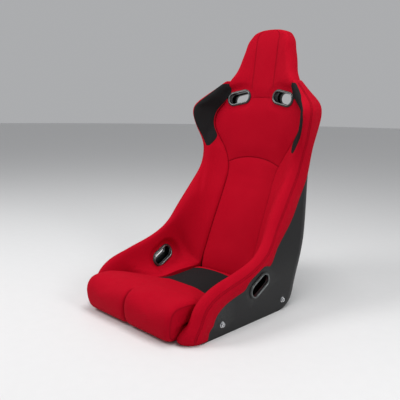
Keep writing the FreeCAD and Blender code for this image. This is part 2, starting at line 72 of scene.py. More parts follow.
# place of each station along the bolster; the nose's stations stand closer together
STATION_PLACES = [-0.8, -0.3, 0.4, 1.3] + list(range(2, 22))
CUSHION_END = 9.6            # place where the bolster no longer meets the cushion
SHELL_LAP = 12.0             # depth below the crest where the cover starts to follow the shell
COVER_THICKNESS = 8.0
ROW_STEP = 9.0
# half width of the shell by height: (z, x)
SHELL_HALF = np.array([
    (70, 244), (147, 243), (218, 235), (280, 227), (339, 221), (400, 219), (460, 221), (520, 230),
    (570, 242), (620, 255), (650, 254), (676, 236), (700, 205), (722, 170), (745, 137),
], float)

# ---- columns across a cover: distances along it, how far they sink in, how much painted shade darkens the seam there ---
HIDDEN_COLUMNS = 3           # the skirt that runs down behind the cushion and the back pads
EDGE_STEPS = [0.0, 1.4, 3.5, 7.0]
EDGE_DIP = [2.8, 1.3, 0.4, 0.0]
EDGE_MARK = [1, 1, 0.9, 0.6, 0.1]
SEAM_STEPS = [-6.0, -3.0, -1.1, 0.0, 1.1, 3.0, 6.0]
SEAM_DIP = [0.0, 0.1, 0.5, 0.9, 0.5, 0.1, 0.0]
SEAM_MARK = [0, 0.1, 0.3, 0.5, 0.3, 0.1, 0]
LOWER_STEPS = [6.0, 2.5, 0.7, 0.0]
LOWER_DIP = [0.0, 0.3, 0.9, 1.8]
INNER_COLUMNS, OUTER_COLUMNS = 20, 7
SEAM_COLUMN = HIDDEN_COLUMNS + len(EDGE_STEPS) + INNER_COLUMNS

# ---- charcoal shoulder panel: station place, and the shares of the inner wall that it covers ----
INSERT_REACH = np.array([
    (13.9, 0.62, 0.68), (14.4, 0.30, 0.73), (15, 0.02, 0.77), (16, 0, 0.83), (17, 0, 0.85),
    (18, 0, 0.85), (19, 0, 0.86), (20, 0, 0.93), (20.9, 0, 0.96),
], float)

# ---- cloth simulation ----
CLOTH_PRESSURE, CLOTH_FRAMES = 4.0, 20
COVER_SWELL, PAD_SWELL = 3.0, 5.0

# ---- side-view line of the back padding: (height, y) ----
BACK_LINE = np.array([
    (40, 85), (82, 85), (154, 115), (253, 155), (348, 195), (442, 230), (566, 253), (682, 270),
    (762, 282), (822, 290), (882, 299), (921, 310),
], float)
PAD_BOTTOM, PAD_THICKNESS = 44.0, 20.0
PAD_HALF = 115.0             # about half the width of a back pad and of the cushion's rear
PAD_FOOT = [(40.0, 108.0, 86.0), (78.0, 109.0, 88.0)]     # z, half width and y below the cushion's top
BOLSTER_JOIN_Z = 112.0       # from here up, the bolster's edge sets the pads' width
LUMBAR_Z, LUMBAR_DROP, LUMBAR_LAP = 471.0, 26.0, 0.2
YOKE_Z, YOKE_LAP = 681.0, 1.5

# ---- headrest: z, crest x and y, half width, y of the rear edge ----
HEAD_LEVELS = np.array([
    (726, 134, 252, 156, 292), (745, 127, 257, 144, 300), (762, 118, 264, 131, 309),
    (790, 109, 274, 119, 320), (822, 100, 282, 110, 328), (855, 90, 289, 99, 335),
    (882, 81, 296, 90, 341), (900, 68, 303, 77, 343), (912, 51, 308, 59, 341), (919, 25, 314, 31, 334),
], float)
HEAD_SEAM_X = 47.0
HEAD_SEAM_STEPS = np.array([-6, -2.6, -1.0, 0, 1.0, 2.6, 6])
HEAD_SEAM_MARK = np.array([0, 0, 0, 0, 0.2, 0.8, 1, 0.8, 0.2, 0])
HEAD_HEIGHTS = np.concatenate([YOKE_Z + np.array([-0.5, 1.5, 4, 9]), np.linspace(700, 721, 3),
                               np.linspace(729, 892, 20), [900, 907, 912, 916, 918.6]])
NECK_LOW, NECK_HIGH = 706.0, 724.0       # the yoke turns into the headrest between these heights

# ---- cushion: half width along it, and its outline from the side (y, z) ----
CUSHION_HALF = np.array([
    (-238, 199), (-196, 188), (-159, 166), (-135, 148), (-112, 131), (-60, 117), (0, 115), (48, 112),
    (80, 107),
], float)
CUSHION_LINE = np.array([
    (-60, 21), (-150, 21), (-215, 21), (-236, 14), (-262, 6), (-300, 3.5), (-328, 4), (-344, 12),
    (-352, 28), (-356, 52), (-355, 77), (-346, 99), (-329, 112), (-303, 116), (-270, 115), (-236, 107),
    (-196, 96), (-159, 86), (-135, 78), (-112, 72), (-60, 69), (0, 73), (48, 78), (70, 77), (80, 66),
    (80, 48), (66, 32), (40, 23), (0, 21), (-60, 21),
], float)
GROOVE_START = -312.0        # y where the groove down the middle of the roll begins
ROLL_TAPER = 8.0             # how much narrower the roll is at its bottom, on each side
# distance from the middle, drop into the middle groove, painted shade in the seam
MIDDLE_STEPS = [
    (0.0, 8.5, 1.0), (1.2, 7.0, 0.8), (3.0, 4.6, 0.3), (6.5, 2.1, 0.0), (12.0, 0.6, 0.0),
    (20.0, 0.0, 0.0),
]
# distance in from the side, how far the outline has shrunk, painted shade in the seam
SIDE_STEPS = [
    (26.0, 0.2, 0.0), (15.0, 1.2, 0.0), (8.0, 3.4, 0.0), (3.6, 6.4, 0.0), (1.2, 9.6, 0.2),
    (0.9, 11.4, 0.9), (1.4, 12.6, 1.0), (0.5, 14.0, 0.4), (0.0, 18.0, 0.0),
]
PANEL_FRONT, PANEL_REAR = -114.0, 46.0
PANEL_STEPS = (0.0, 1.6, 4.0, 8.0)

# ---- harness slots ----
SLOT_REACH, SLOT_RADIUS = 24.0, 18.0
SLEEVE_WALL, FLANGE = 2.5, 8.5
# surround: distance outside the opening, height above the face, 1 on the metallic bead, whose lighter grey
# is a painted highlight;
# the rows at -8 are the end of the sleeve, which has its own length on each slot
BEZEL_PROFILE = [
    (0.0, -8.0, 0), (0.0, -2.0, 0), (0.1, 2.2, 1), (0.7, 3.9, 1), (2.0, 4.9, 1), (3.6, 4.9, 1),
    (4.8, 3.9, 1), (5.2, 2.7, 0), (6.2, 2.2, 0), (7.8, 2.0, 0), (8.5, 1.2, 0), (8.5, -0.3, 0),
    (2.6, -0.3, 0), (2.5, -8.0, 0),
]

# ---- stitches ----
STITCH_PITCH, STITCH_LENGTH, STITCH_RADIUS, STITCH_LIFT = 6.0, 4.4, 0.55, 0.35
# share of the stitch's length, width, height, in radii
STITCH_STATIONS = [
    (0.0, 0.25, -0.7), (0.12, 0.8, 0.1), (0.5, 1.0, 0.45), (0.88, 0.8, 0.1), (1.0, 0.25, -0.7),
]
STITCH_SIDES = 6

# ---- camera: metres and degrees ----
CAMERA_PLACE = (1.211, -1.267, 0.667)
CAMERA_YAW, CAMERA_PITCH, CAMERA_ROLL = 44.49, 10.49, 0.79
CAMERA_LENS, CAMERA_SENSOR = 48.15, 36.0


# ---- geometry helpers ----
class Spline:
    """Natural cubic through rows of numbers at increasing keys."""

    def __init__(self, keys, values):
        self.keys = np.array(keys, float)
        self.values = np.array(values, float)
        count = len(self.keys)
        step = np.diff(self.keys)
        system = np.eye(count)
        right = np.zeros_like(self.values)
        for i in range(1, count - 1):
            system[i, i - 1:i + 2] = step[i - 1], 2 * (step[i - 1] + step[i]), step[i]
            rise = (self.values[i + 1] - self.values[i]) / step[i]
            right[i] = 6 * (rise - (self.values[i] - self.values[i - 1]) / step[i - 1])
        self.bend = np.linalg.solve(system, right)

    def __call__(self, key):
        i = int(np.clip(np.searchsorted(self.keys, key) - 1, 0, len(self.keys) - 2))
        step = self.keys[i + 1] - self.keys[i]
        b = (key - self.keys[i]) / step
        a = 1 - b
        curve = (a ** 3 - a) * self.bend[i] + (b ** 3 - b) * self.bend[i + 1]
        return a * self.values[i] + b * self.values[i + 1] + curve * step * step / 6


def lengths(points):
    """Distance along a line of points, starting at zero."""
    return np.concatenate([[0.0], np.cumsum(np.linalg.norm(np.diff(points, axis=0), axis=1))])


def resample(points, distances):
    along = lengths(points)
    return np.stack([np.interp(distances, along, points[:, k]) for k in range(points.shape[1])], axis=1)


def smooth_line(points, count=80):
    """Points along a smooth curve through the given ones."""
    points = np.array(points, float)
    curve = Spline(lengths(points), points)
    return np.array([curve(key) for key in np.linspace(0, curve.keys[-1], count)])


def settle(rows, passes):
    """Averages each row of numbers with its neighbours, keeping both ends."""
    for _ in range(passes):
        rows[1:-1] = 0.25 * rows[:-2] + 0.5 * rows[1:-1] + 0.25 * rows[2:]
    return rows


def ease(t):
    t = np.clip(t, 0.0, 1.0)
    return t * t * (3 - 2 * t)


def sideways(tangent, chosen, towards):
    """Unit directions square to a flat line's tangents, on the side where the chosen one points."""
    across = np.stack([-tangent[:, 1], tangent[:, 0]], axis=1)
    across /= np.linalg.norm(across, axis=1, keepdims=True)
    return -across if across[chosen] @ towards < 0 else across


def unit(vector):
    vector = np.array(vector, float)
    return vector / np.linalg.norm(vector)


def grid_normals(grid):
    """Unit normals of a grid of points, from its neighbours."""
    down = np.gradient(grid, axis=0)
    across = np.gradient(grid, axis=1)
    normals = np.cross(down, across)
    return normals / np.maximum(np.linalg.norm(normals, axis=2, keepdims=True), 1e-9)


def mirror_x(points):
    return points * np.array([-1.0, 1.0, 1.0])


# ---- pieces ----
def new_object(name, points, faces, uv=None, seam=None):
    """Mesh object from points and uv in millimetres; seam is 1 on a seam line and sets how much painted
    shade darkens the cloth there.
    """
    mesh = bpy.data.meshes.new(name)
    mesh.from_pydata([tuple(p) for p in np.asarray(points) * MM], [], faces)
    if uv is not None:
        layer = mesh.uv_layers.new(name="cloth")
        corner = np.empty(len(mesh.loops), dtype=np.int32)
        mesh.loops.foreach_get("vertex_index", corner)
        layer.data.foreach_set("uv", (np.asarray(uv)[corner] * MM).ravel())
    if seam is None:
        seam = np.zeros(len(mesh.vertices))
    attribute = mesh.attributes.new("seam", "FLOAT", "POINT")
    attribute.data.foreach_set("value", np.asarray(seam, float))
    work = bmesh.new()
    work.from_mesh(mesh)
    bmesh.ops.recalc_face_normals(work, faces=work.faces)
    work.to_mesh(mesh)
    work.free()
    mesh.shade_smooth()
    piece = bpy.data.objects.new(name, mesh)
    bpy.context.scene.collection.objects.link(piece)
    return piece


def apply_modifiers(piece):
    graph = bpy.context.evaluated_depsgraph_get()
    mesh = bpy.data.meshes.new_from_object(piece.evaluated_get(graph))
    piece.modifiers.clear()
    piece.data = mesh
    mesh.shade_smooth()


def add_smoothing(piece):
    modifier = piece.modifiers.new("smooth", "SUBSURF")
    modifier.levels = modifier.render_levels = 1


def subdivide(piece):
    add_smoothing(piece)
    apply_modifiers(piece)


def points_of(piece):
    points = np.empty(3 * len(piece.data.vertices))
    piece.data.vertices.foreach_get("co", points)
    return points.reshape(-1, 3) / MM


def set_points(piece, points):
    piece.data.vertices.foreach_set("co", (points * MM).ravel())
    piece.data.update()


def thick_sheet(name, outer, inner, seam):
    """Closed form from an outer and an inner grid, and the points that the cloth is held by."""
    rows, cols = outer.shape[:2]
    count = rows * cols
    faces = []
    for i in range(rows - 1):
        for j in range(cols - 1):
            a = i * cols + j
            faces.append((a, a + 1, a + cols + 1, a + cols))
            faces.append((count + a, count + a + cols, count + a + cols + 1, count + a + 1))
    border = list(range(cols))
    border += [i * cols + cols - 1 for i in range(1, rows)]
    border += [(rows - 1) * cols + j for j in range(cols - 2, -1, -1)]
    border += [i * cols for i in range(rows - 2, 0, -1)]
    for a, b in zip(border, border[1:] + border[:1]):
        faces.append((b, a, count + a, count + b))
    across = np.linalg.norm(np.diff(outer, axis=1), axis=2).mean(axis=0)
    down = np.linalg.norm(np.diff(outer, axis=0), axis=2).mean(axis=1)
    u = np.concatenate([[0], np.cumsum(across)])
    v = np.concatenate([[0], np.cumsum(down)])
    uv = np.stack(np.meshgrid(u, v), axis=2).reshape(-1, 2)
    points = np.concatenate([outer.reshape(-1, 3), inner.reshape(-1, 3)])
    seams = np.concatenate([seam.ravel(), np.zeros(count)])
    piece = new_object(name, points, faces, np.concatenate([uv, uv]), seams)
    hold = np.concatenate([seam.ravel() > 0.3, np.ones(count, bool)])
    hold[border] = True
    return piece, hold


def ring_body(name, rings, seam):
    """Closed form from rings of points; the two end rings are filled."""
    count, around = rings.shape[:2]
    faces = [tuple(range(around)), tuple((count - 1) * around + k for k in range(around))]
    for i in range(count - 1):
        for k in range(around):
            a, b = i * around + k, i * around + (k + 1) % around
            faces.append((a, b, b + around, a + around))
    v = lengths(rings[count // 2])
    u = lengths(rings[:, 0])
    uv = np.stack(np.meshgrid(v, u), axis=2).reshape(-1, 2)
    return new_object(name, rings.reshape(-1, 3), faces, uv, seam.ravel())


def swell(piece, hold, cap):
    """Cloth under air pressure, held along its seams; no point moves further than the cap."""
    rest = points_of(piece)
    pins = piece.vertex_groups.new(name="held")
    pins.add([int(i) for i in np.flatnonzero(hold)], 1.0, "REPLACE")
    modifier = piece.modifiers.new("cloth", "CLOTH")
    cloth = modifier.settings
    cloth.quality = 5
    cloth.mass = 0.3
    cloth.tension_stiffness = cloth.compression_stiffness = 15.0
    cloth.shear_stiffness = 5.0
    cloth.bending_stiffness = 0.5
    cloth.vertex_group_mass = "held"
    cloth.use_pressure = True
    cloth.uniform_pressure_force = CLOTH_PRESSURE
    cloth.effector_weights.gravity = 0.0
    modifier.point_cache.frame_start = 1
    modifier.point_cache.frame_end = CLOTH_FRAMES
    for step in range(1, CLOTH_FRAMES + 1):
        bpy.context.scene.frame_set(step)
    graph = bpy.context.evaluated_depsgraph_get()
    shaped = piece.evaluated_get(graph).to_mesh()
    moved = np.empty(3 * len(shaped.vertices))
    shaped.vertices.foreach_get("co", moved)
    piece.evaluated_get(graph).to_mesh_clear()
    piece.modifiers.clear()
    piece.vertex_groups.clear()
    bpy.context.scene.frame_set(1)
    move = moved.reshape(-1, 3) / MM - rest
    move[~np.isfinite(move).all(axis=1)] = 0.0
    far = np.linalg.norm(move, axis=1, keepdims=True)
    set_points(piece, rest + move * np.minimum(1.0, cap / np.maximum(far, 1e-9)))


def mirrored_copy(piece, name):
    mesh = piece.data.copy()
    mesh.name = name
    mesh.transform(Matrix.Scale(-1, 4, (1, 0, 0)))
    mesh.flip_normals()
    copy = bpy.data.objects.new(name, mesh)
    bpy.context.scene.collection.objects.link(copy)
    return copy


def both_sides(piece, name):
    """The right piece and its mirrored twin, each with the name of its side."""
    return ("right", piece), ("left", mirrored_copy(piece, f"{name}_left"))


def surface_of(piece):
    return BVHTree.FromObject(piece, bpy.context.evaluated_depsgraph_get())


def lay_on(surface, grid, heights):
    """Moves a grid of points onto a surface, each at its own height above it."""
    laid = np.empty_like(grid)
    normals = np.empty_like(grid)
    for index in np.ndindex(grid.shape[:2]):
        place, normal, _, _ = surface.find_nearest(Vector(grid[index] * MM))
        laid[index] = np.array(place) / MM + np.array(normal) * heights[index]
        normals[index] = np.array(normal)
    return laid, normals


def roll_edges(rows, cols, reach_rows, reach_cols):
    """0 on a grid's border, rising to 1 within a few rows and columns of it."""
    i = np.minimum(np.arange(rows), np.arange(rows)[::-1])[:, None] / reach_rows
    j = np.minimum(np.arange(cols), np.arange(cols)[::-1])[None, :] / reach_cols
    low_i = 1 - np.clip(i, 0, 1)
    low_j = 1 - np.clip(j, 0, 1)
    return np.sqrt((1 - low_i ** 2) * (1 - low_j ** 2))


# ---- stitches ----
def stitches(name, lines):
    """Separate raised stitches along lines on surfaces; a line is (points, normals)."""
    points, faces = [], []
    for line, normals in lines:
        along = lengths(line)
        starts = np.arange(STITCH_PITCH, along[-1] - STITCH_PITCH, STITCH_PITCH)
        begin, end = resample(line, starts), resample(line, starts + STITCH_LENGTH)
        normal_at = np.stack([np.interp(starts, along, normals[:, k]) for k in range(3)], axis=1)
        for a, b, normal in zip(begin, end, normal_at):
            normal = unit(normal)
            side = unit(np.cross(b - a, normal))
            base = len(points)
            for share, width, height in STITCH_STATIONS:
                centre = a + (b - a) * share + normal * (STITCH_LIFT + height * STITCH_RADIUS)
                for k in range(STITCH_SIDES):
                    angle = 2 * math.pi * k / STITCH_SIDES
                    around = side * math.cos(angle) + normal * math.sin(angle)
                    points.append(centre + around * STITCH_RADIUS * width)
            last = base + STITCH_SIDES * (len(STITCH_STATIONS) - 1)
            for start in range(base, last, STITCH_SIDES):
                for k in range(STITCH_SIDES):
                    p, q = start + k, start + (k + 1) % STITCH_SIDES
                    faces.append((p, q, q + STITCH_SIDES, p + STITCH_SIDES))
            faces.append(tuple(base + k for k in range(STITCH_SIDES)))
            faces.append(tuple(last + k for k in range(STITCH_SIDES)))
    return new_object(name, points, faces)


# ---- bolster cover ----
def station_rows():
    """Smooth stations at an even step along the crest, with their place in the list of stations."""
    guide = Spline(STATION_PLACES, STATIONS)
    fine = np.linspace(STATION_PLACES[0], STATION_PLACES[-1], 800)
    crest = np.array([guide(t)[:2] for t in fine])
    along = lengths(crest)
    count = int(along[-1] / ROW_STEP)
    places = np.interp(np.linspace(0, along[-1], count), along, fine)
    return places, settle(np.array([guide(t) for t in places]), 3)


def section(row):
    """Profile of one station as (x, depth) points, with the distances of the crest and the outer point."""
    (join_x, join_d, wall_x, wall_d, top_x, out_x, out_d, end_x, end_d) = row[4:]
    middle = (0.5 * (out_x + end_x) + 1.0, 0.5 * (out_d + end_d))
    keys = [(join_x, join_d), (wall_x, wall_d), (top_x, 0.0), (out_x, out_d), middle, (end_x, end_d)]
    curve = Spline(lengths(np.array(keys)), keys)
    fine = np.linspace(0, curve.keys[-1], 160)
    line = np.array([curve(key) for key in fine])
    along = lengths(line)
    return line, along, np.interp(curve.keys[2], fine, along), np.interp(curve.keys[3], fine, along)


def to_space(row, x, depth):
    """Point of a station's plane as x, y, z."""
    crest, foot = row[0:2], row[2:4]
    direction = (foot - crest) / np.linalg.norm(foot - crest)
    place = crest + direction * depth
    return np.array([x, place[0], place[1]])


def shell_half(z):
    return np.interp(z, SHELL_HALF[:, 0], SHELL_HALF[:, 1])


def bolster_row(place, row):
    """Outer and inner profile of one station as (x, depth) points."""
    line, along, crest_s, out_s = section(row)
    stitch_s = crest_s + 0.8 * (out_s - crest_s)
    before = np.linspace(EDGE_STEPS[-1], stitch_s + SEAM_STEPS[0], INNER_COLUMNS + 2)[1:-1]
    after = np.linspace(stitch_s + SEAM_STEPS[-1], along[-1] - LOWER_STEPS[0], OUTER_COLUMNS + 2)[1:-1]
    distances = np.concatenate([EDGE_STEPS, before, stitch_s + np.array(SEAM_STEPS), after,
                                along[-1] - np.array(LOWER_STEPS)])
    dip = np.concatenate([EDGE_DIP, np.zeros(INNER_COLUMNS), SEAM_DIP, np.zeros(OUTER_COLUMNS), LOWER_DIP])
    flat = resample(line, distances)
    inward = sideways(np.gradient(flat, axis=0), len(EDGE_STEPS) + INNER_COLUMNS // 2, (0, 1))
    flat = flat + inward * dip[:, None]
    room = np.linalg.norm(row[2:4] - row[0:2]) - row[5]
    skirt = max(room - 4.0, 6.0) if place < CUSHION_END else 16.0
    skirt = min(skirt, room + 6.0)
    root = flat[0]
    hidden = [root + (0.0, skirt), root + (0.2, 0.55 * skirt), root + (0.4, 3.0)]
    front = np.concatenate([hidden, flat])
    back = np.concatenate([[h + (5.0, 0.0) for h in hidden], flat + inward * COVER_THICKNESS])
    return front, back


def bolster_grids():
    """Outer and inner grid of the right bolster's cover, and where its seams are."""
    places, rows = station_rows()
    outer, inner = [], []
    for place, row in zip(places, rows):
        front, back = bolster_row(place, row)
        for k, (x, depth) in enumerate(front):
            if k >= SEAM_COLUMN and depth > SHELL_LAP:
                shell_x = shell_half(to_space(row, x, depth)[2]) + 0.4
                back[k] = (min(max(shell_x, x - COVER_THICKNESS), x - 0.5), depth)
        outer.append([to_space(row, x, depth) for x, depth in front])
        inner.append([to_space(row, x, depth) for x, depth in back])
    outer, inner = np.array(outer), np.array(inner)
    # mark: painted shade along the stitched seam, the tucked inner edge and the lower edge
    mark = np.zeros(outer.shape[:2])
    mark[:, SEAM_COLUMN:SEAM_COLUMN + len(SEAM_MARK)] = SEAM_MARK
    mark[:, :len(EDGE_MARK)] = EDGE_MARK
    mark[:, -1] = 1.0
    return places, outer, inner, mark


# ---- harness slots ----
class Slot:
    """A harness slot's outline on one face of the seat. Distances are in millimetres."""

    def __init__(self, centre, through, tilt, level, point, normal):
        self.centre = np.array(centre, float)
        self.through = unit(through)
        angle = math.radians(tilt)
        along = np.array(level, float) * math.cos(angle) + np.array([0, 0, math.sin(angle)])
        self.along = unit(along - self.through * np.dot(along, self.through))
        self.across = np.cross(self.along, self.through)
        self.point = np.array(point, float)
        self.normal = unit(normal)

    def spread(self, points):
        """How far points lie outside the opening."""
        offset = points - self.centre
        a = np.maximum(np.abs(offset @ self.along) - SLOT_REACH, 0)
        return np.hypot(a, offset @ self.across) - SLOT_RADIUS

    def height(self, points):
        return (points - self.point) @ self.normal

    def raise_to(self, points, height):
        """Slides points through the seat until they are at a height above the slot's face."""
        shift = (height - self.height(points)) / np.dot(self.through, self.normal)
        return points + self.through * np.asarray(shift)[..., None]

    def outline(self, grow, height, arc=14, run=6):
        """Closed line around the opening, grown outward, at a height above the face."""
        radius = SLOT_RADIUS + grow
        flat = []
        for side in (1, -1):
            for k in range(arc):
                angle = math.pi * (k / arc - 0.5)
                reach = SLOT_REACH + radius * math.cos(angle)
                flat.append((side * reach, side * radius * math.sin(angle)))
            for k in range(run):
                flat.append((side * SLOT_REACH * (1 - 2 * k / run), side * radius))
        line = np.array([self.centre + self.along * a + self.across * c for a, c in flat])
        return self.raise_to(line, np.full(len(line), height))

    def seat_cloth(self, points, near=FLANGE + 1.5, far=34.0, sink=0.7, reach=55.0):
        """Pulls cloth down to the slot's face under the flange, easing back out around it."""
        away, high = self.spread(points), self.height(points)
        share = 1 - ease((away - near) / (far - near))
        share = share * (np.abs(high) < reach)
        target = self.raise_to(points, np.full(len(points), -sink))
        return points + (target - points) * share[:, None]

    def mirrored(self):
        twin = object.__new__(Slot)
        for key, value in self.__dict__.items():
            setattr(twin, key, mirror_x(value))
        return twin


# each slot: centre, direction through the seat, tilt, level direction, a point of the face, its normal
SHOULDER_AXIS, HIP_AXIS = (0.12, 0.982, -0.145), (1, 0, 0)
SHOULDER_CENTRE, HIP_CENTRE = (98, 265, 680), (201, -16, 112)
SHOULDER_FRONT = Slot(SHOULDER_CENTRE, SHOULDER_AXIS, 12, (-1, 0, 0), SHOULDER_CENTRE,
                      (-0.12, -0.982, 0.145))
SHOULDER_PAIR = [SHOULDER_FRONT, SHOULDER_FRONT.mirrored()]
SHOULDER_REAR = Slot(SHOULDER_CENTRE, SHOULDER_AXIS, 12, (-1, 0, 0), (103, 307.5, 674), (0, 0.995, -0.1))
HIP_INNER = Slot(HIP_CENTRE, HIP_AXIS, 24, (0, 1, 0), (205, -16, 112), (-0.95, 0, 0.31))
HIP_OUTER = Slot(HIP_CENTRE, HIP_AXIS, 29, (0, 1, 0), (245, -16, 112), (1, 0, 0))


def cut_slot(piece, slot):
    """Opens a piece where the slot's sleeve goes through it."""
    low = slot.outline(SLEEVE_WALL + 1.0, -70.0)
    high = slot.outline(SLEEVE_WALL + 1.0, 70.0)
    rings = np.array([low, high])
    tool = ring_body("slot_tool", rings, np.zeros(rings.shape[:2]))
    modifier = piece.modifiers.new("slot", "BOOLEAN")
    modifier.operation = "DIFFERENCE"
    modifier.solver = "FAST"
    modifier.object = tool
    apply_modifiers(piece)
    bpy.data.objects.remove(tool)


def open_for(piece, slots):
    """Seats the cloth of a piece around slots and cuts their openings."""
    points = points_of(piece)
    for slot in slots:
        points = slot.seat_cloth(points)
    set_points(piece, points)
    for slot in slots:
        cut_slot(piece, slot)


def bezel(name, slot, sleeve):
    """Moulded surround with a metallic bead around the opening, its lighter grey a painted highlight along
    the lip.
    """
    rings = []
    for grow, height, _ in BEZEL_PROFILE:
        rings.append(slot.outline(grow, -sleeve if height == -8.0 else height))
    rings = np.array(rings).transpose(1, 0, 2)
    count, around = rings.shape[:2]
    faces, bead = [], []
    for i in range(count):
        for k in range(around):
            a, b = i * around + k, i * around + (k + 1) % around
            c, d = ((i + 1) % count) * around + (k + 1) % around, ((i + 1) % count) * around + k
            faces.append((a, b, c, d))
            bead.append(BEZEL_PROFILE[k][2] and BEZEL_PROFILE[(k + 1) % around][2])
    piece = new_object(name, rings.reshape(-1, 3), faces)
    piece.data.materials.append(BEZEL_BLACK)
    piece.data.materials.append(BEZEL_LIP_HIGHLIGHT)
    # faces on the bead get the finish with the painted highlight
    for polygon, metal in zip(piece.data.polygons, bead):
        polygon.material_index = int(metal)
    add_smoothing(piece)
    return piece


# ---- materials ----
class Shade:
    """Small helper to write a material's nodes."""

    def __init__(self, name):
        self.material = bpy.data.materials.new(name)
        self.material.use_nodes = True
        self.tree = self.material.node_tree
        self.shader = self.tree.nodes["Principled BSDF"]
        self.space = self.node("ShaderNodeTexCoord").outputs["Object"]

    def put(self, socket, value):
        """Links another node's output to a socket, or sets the socket's value."""
        if isinstance(value, bpy.types.NodeSocket):
            self.tree.links.new(value, socket)
        else:
            socket.default_value = value

    def node(self, kind, inputs=None, **settings):
        node = self.tree.nodes.new(kind)
        for key, value in settings.items():
            setattr(node, key, value)
        for key, value in (inputs or {}).items():
            self.put(node.inputs[key], value)
        return node

    def math(self, operation, a, b=0.0):
        return self.node("ShaderNodeMath", {0: a, 1: b}, operation=operation).outputs[0]

    def noise(self, scale, detail=3.0, roughness=0.55):
        inputs = {"Vector": self.space, "Scale": scale, "Detail": detail, "Roughness": roughness}
        return self.node("ShaderNodeTexNoise", inputs).outputs["Fac"]

    def spread(self, value, low, high, to_low=0.0, to_high=1.0):
        inputs = {"Value": value, "From Min": low, "From Max": high, "To Min": to_low, "To Max": to_high}
        return self.node("ShaderNodeMapRange", inputs).outputs["Result"]

    def cells(self, scale):
        return self.node("ShaderNodeTexVoronoi", {"Vector": self.space, "Scale": scale}).outputs["Distance"]

    def mix(self, share, a, b):
        """Blends two colours; 0, 6 and 7 are the mix node's factor and colour sockets, 2 its colour."""
        return self.node("ShaderNodeMix", {0: share, 6: a, 7: b}, data_type="RGBA").outputs[2]

    def bump(self, height, distance, strength=1.0, below=None):
        inputs = {"Height": height, "Distance": distance, "Strength": strength}
        if below is not None:
            inputs["Normal"] = below
        return self.node("ShaderNodeBump", inputs).outputs["Normal"]

    def set(self, **values):
        for key, value in values.items():
            self.put(self.shader.inputs[key.replace("_", " ")], value)
        return self.material


def colour(r, g, b):
    return (r, g, b, 1.0)


def scaled(rgba, share):
    return colour(*[min(1.0, c * share) for c in rgba[:3]])


def cloth_material(name, base, pitch, sheen, melange, depth):
    """Woven cloth: crossing threads, mixed yarn, soft wear and painted shade darkening the seams; pitch and
    depth are in mm.
    """
    shade = Shade(name)
    uv = shade.node("ShaderNodeUVMap", uv_map="cloth").outputs["UV"]
    parts = shade.node("ShaderNodeSeparateXYZ", {0: uv}).outputs
    turns = 2 * math.pi / (pitch * MM)
    warp = shade.math("SINE", shade.math("MULTIPLY", parts["X"], turns))
    weft = shade.math("SINE", shade.math("MULTIPLY", parts["Y"], turns))
    weave = shade.spread(shade.math("MULTIPLY", warp, weft), -1, 1)
    patches = shade.noise(7.0, 3.0)
    yarn = shade.noise(900.0, 2.0)
    seam = shade.node("ShaderNodeAttribute", attribute_name="seam").outputs["Fac"]
    dark, light = scaled(base, 1 - melange), scaled(base, 1 + melange)
    thread = shade.math("ADD", shade.math("MULTIPLY", yarn, 0.6), shade.math("MULTIPLY", weave, 0.4))
    tone = shade.mix(thread, dark, light)
    tone = shade.mix(shade.spread(patches, 0.35, 0.75, 0.0, 0.35), tone, scaled(base, 0.82))
    # painted shade: the cloth darkens along seams and creases, where shade falls
    tone = shade.mix(shade.math("MULTIPLY", seam, 0.5), tone, scaled(base, 0.35))
    weave_bump = shade.bump(weave, depth * MM, 0.9)
    normal = shade.bump(yarn, 0.25 * depth * MM, 0.6, weave_bump)
    rough = shade.spread(patches, 0.3, 0.7, 0.78, 0.9)
    return shade.set(Base_Color=tone, Roughness=rough, Normal=normal, Specular_IOR_Level=0.07,
                     Sheen_Weight=sheen, Sheen_Roughness=0.45, Sheen_Tint=scaled(base, 1.6))


def shell_material(name):
    """Satin black composite with a fine pebbled gel coat, paler where edges are rubbed."""
    shade = Shade(name)
    grain = shade.noise(420.0, 4.0)
    cloud = shade.noise(5.0, 3.0)
    pebbles = shade.cells(650.0)
    edge = shade.spread(shade.node("ShaderNodeNewGeometry").outputs["Pointiness"], 0.52, 0.6)
    wear = shade.math("MULTIPLY", edge, shade.spread(grain, 0.4, 0.7))
    tone = shade.mix(cloud, colour(0.006, 0.006, 0.0064), colour(0.011, 0.011, 0.0115))
    tone = shade.mix(wear, tone, colour(0.05, 0.05, 0.05))
    rough = shade.spread(grain, 0.3, 0.7, 0.36, 0.5)
    normal = shade.bump(pebbles, 0.00012, 0.5, shade.bump(grain, 0.00015, 0.5))
    return shade.set(Base_Color=tone, Roughness=rough, Normal=normal, Specular_IOR_Level=0.25,
                     Coat_Weight=0.04, Coat_Roughness=0.3)


def laminate_material(name):
    """Bare glass-fibre laminate: woven rovings under resin."""
    shade = Shade(name)
    parts = shade.node("ShaderNodeSeparateXYZ", {0: shade.space}).outputs
    across = shade.math("SINE", shade.math("MULTIPLY", parts["X"], 1100.0))
    rise = shade.math("SINE", shade.math("MULTIPLY", parts["Z"], 1100.0))
    roving = shade.spread(shade.math("MULTIPLY", across, rise), -1, 1)
    resin = shade.noise(60.0, 4.0)
    tone = shade.mix(roving, colour(0.02, 0.02, 0.019), colour(0.045, 0.044, 0.04))
    tone = shade.mix(shade.spread(resin, 0.4, 0.7), tone, colour(0.03, 0.03, 0.028))
    rough = shade.spread(resin, 0.3, 0.7, 0.35, 0.6)
    normal = shade.bump(roving, 0.0002, 0.7)
    return shade.set(Base_Color=tone, Roughness=rough, Normal=normal)


def moulded_material(name, base, metallic, low, high):
    """Injection-moulded or plated trim with a fine texture and rubbed high spots."""
    shade = Shade(name)
    grain = shade.noise(1600.0, 2.0)
    scuffs = shade.noise(90.0, 5.0, 0.7)
    tone = shade.mix(shade.spread(scuffs, 0.45, 0.7), base, scaled(base, 1.5))
    rough = shade.spread(scuffs, 0.3, 0.7, low, high)
    normal = shade.bump(grain, 0.00006, 0.5)
    return shade.set(Base_Color=tone, Roughness=rough, Normal=normal, Metallic=metallic)


